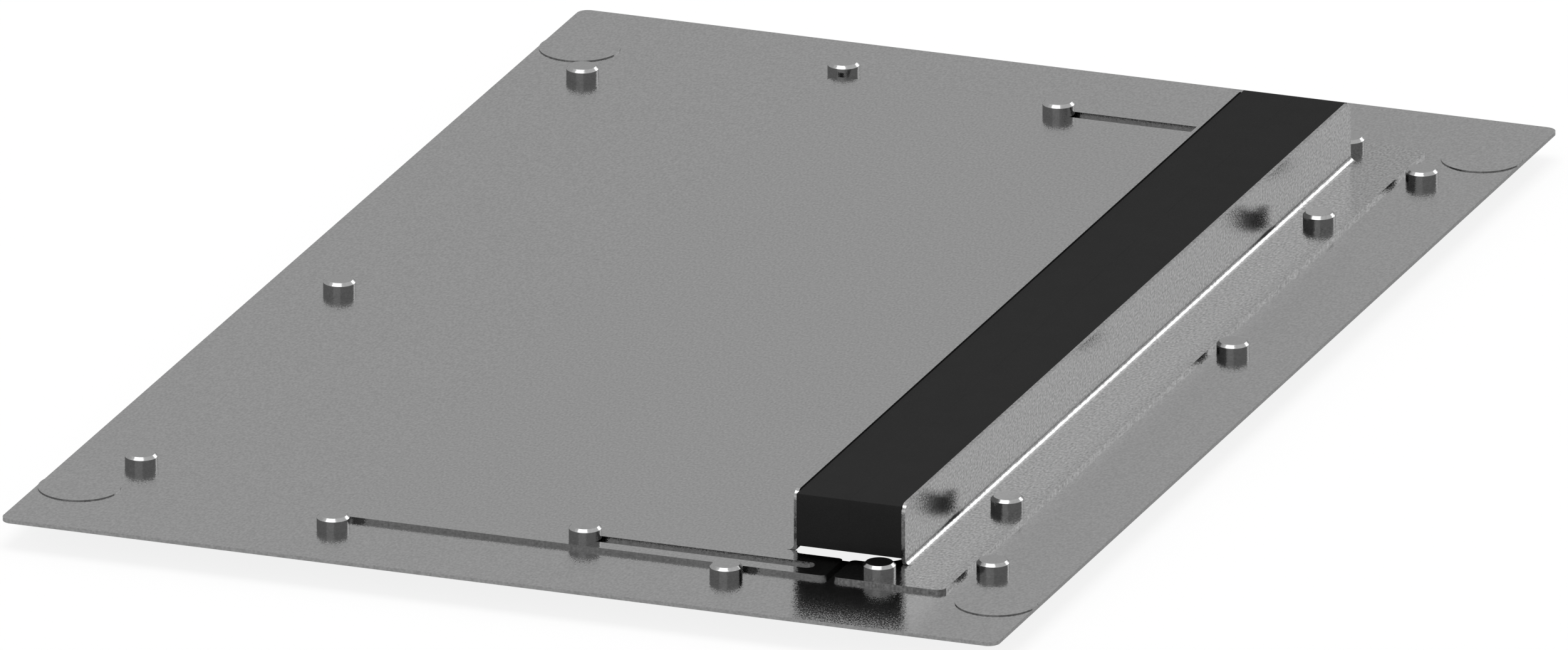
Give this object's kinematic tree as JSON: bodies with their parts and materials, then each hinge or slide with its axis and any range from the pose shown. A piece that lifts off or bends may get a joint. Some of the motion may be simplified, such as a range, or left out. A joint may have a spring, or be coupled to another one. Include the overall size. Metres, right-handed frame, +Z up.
{
  "type": "enclosure roof plate",
  "caption": "Steel roof plate for an electrical enclosure, with a sliding plate and foam strips that close round cables led in from above.",
  "frame": {"origin": "middle of the plane on which the seal sits on the enclosure's frame, 3 mm below the base plate's underside", "axes": "+X across the plate, from the open side of the sliding plate to the fixed plate; +Y along the plate and the foam strips; +Z up, out of the enclosure"},
  "size_m": [0.537, 0.837, 0.05],
  "materials": {
    "sheet": "fine grained bare sheet steel with a soft reflection",
    "screw": "turned steel, satin",
    "nut": "plain steel",
    "foam": "black fine-celled foam, matt",
    "seal": "black foamed seal, matt"
  },
  "bodies": {
    "base": {"base_plate": "sheet", "fixed_plate": "sheet", "fixed_foam": "foam", "perimeter_seal": "seal", "frame_screw_1": "screw", "frame_screw_2": "screw", "frame_screw_3": "screw", "frame_screw_4": "screw", "frame_screw_5": "screw", "frame_screw_6": "screw", "frame_screw_7": "screw", "frame_screw_8": "screw", "frame_screw_9": "screw", "frame_screw_10": "screw", "slide_screw_1": "screw", "slide_screw_2": "screw", "fixed_screw_1": "screw", "fixed_screw_2": "screw", "fixed_screw_3": "screw", "fixed_screw_4": "screw", "slide_nut_1": "nut", "slide_nut_2": "nut", "fixed_nut_1": "nut", "fixed_nut_2": "nut", "fixed_nut_3": "nut", "fixed_nut_4": "nut", "corner_disc_1": "sheet", "corner_disc_2": "sheet", "corner_disc_3": "sheet", "corner_disc_4": "sheet"},
    "slider": {"sliding_plate": "sheet", "sliding_foam": "foam"}
  },
  "joints": [
    {"name": "plate_slide", "type": "slide", "parent": "base", "child": "slider", "axis": [-1, 0, 0], "range_m": [0, 0.11]}
  ]
}
